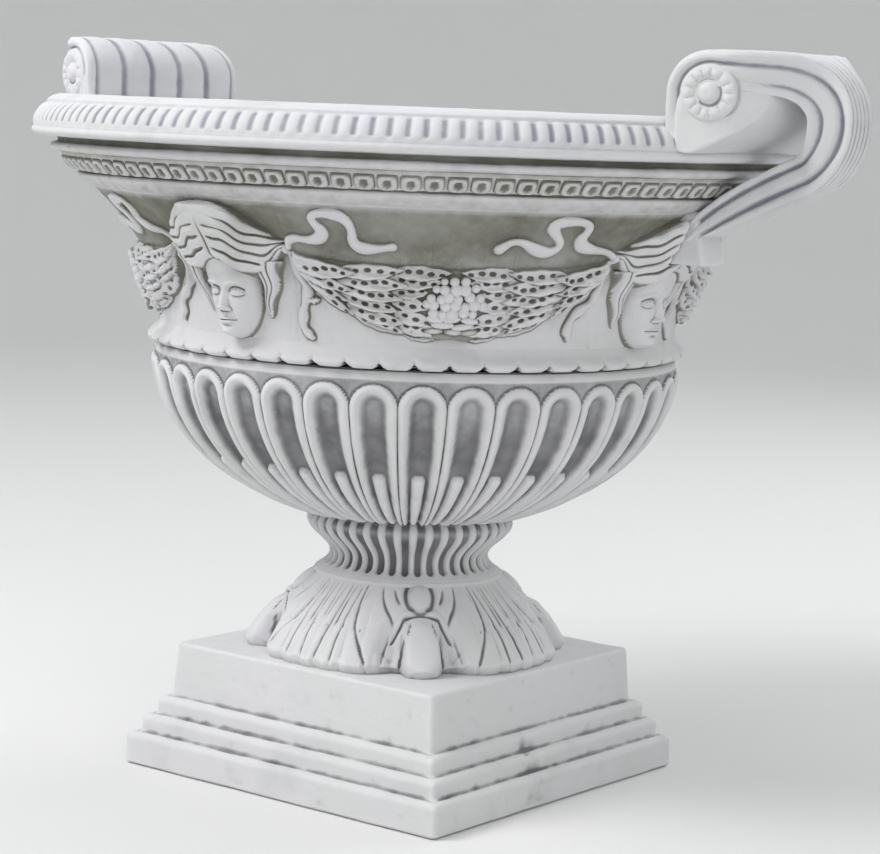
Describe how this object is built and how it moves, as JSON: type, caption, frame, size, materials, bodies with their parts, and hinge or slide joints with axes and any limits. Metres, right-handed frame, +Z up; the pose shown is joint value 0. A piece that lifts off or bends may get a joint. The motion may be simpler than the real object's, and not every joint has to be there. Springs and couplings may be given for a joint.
{
  "type": "garden urn planter",
  "caption": "Large classical garden urn planter in cast stone with a stepped square plinth, leaf-carved foot, fluted bowl, mask and swag frieze and scroll handles.",
  "frame": {"origin": "middle of the plinth's underside, on the ground", "axes": "+Z up; +X through the two handles; the plinth's sides lie along X and Y"},
  "size_m": [1.22, 0.93, 0.885],
  "materials": {
    "stone": "off-white cast stone with a grey antique wash in the recesses",
    "mortar": "grey bedding mortar",
    "dowel": "plain stainless dowel"
  },
  "bodies": {
    "root": {"plinth": "stone", "plinth_bed": "mortar", "foot": "stone", "neck_bed": "mortar", "neck_dowels": "dowel", "bowl": "stone", "body_bed": "mortar", "body_dowels": "dowel", "body": "stone", "handle_right": "stone", "handle_left": "stone", "handle_dowels_right": "dowel", "handle_dowels_left": "dowel"}
  },
  "joints": []
}
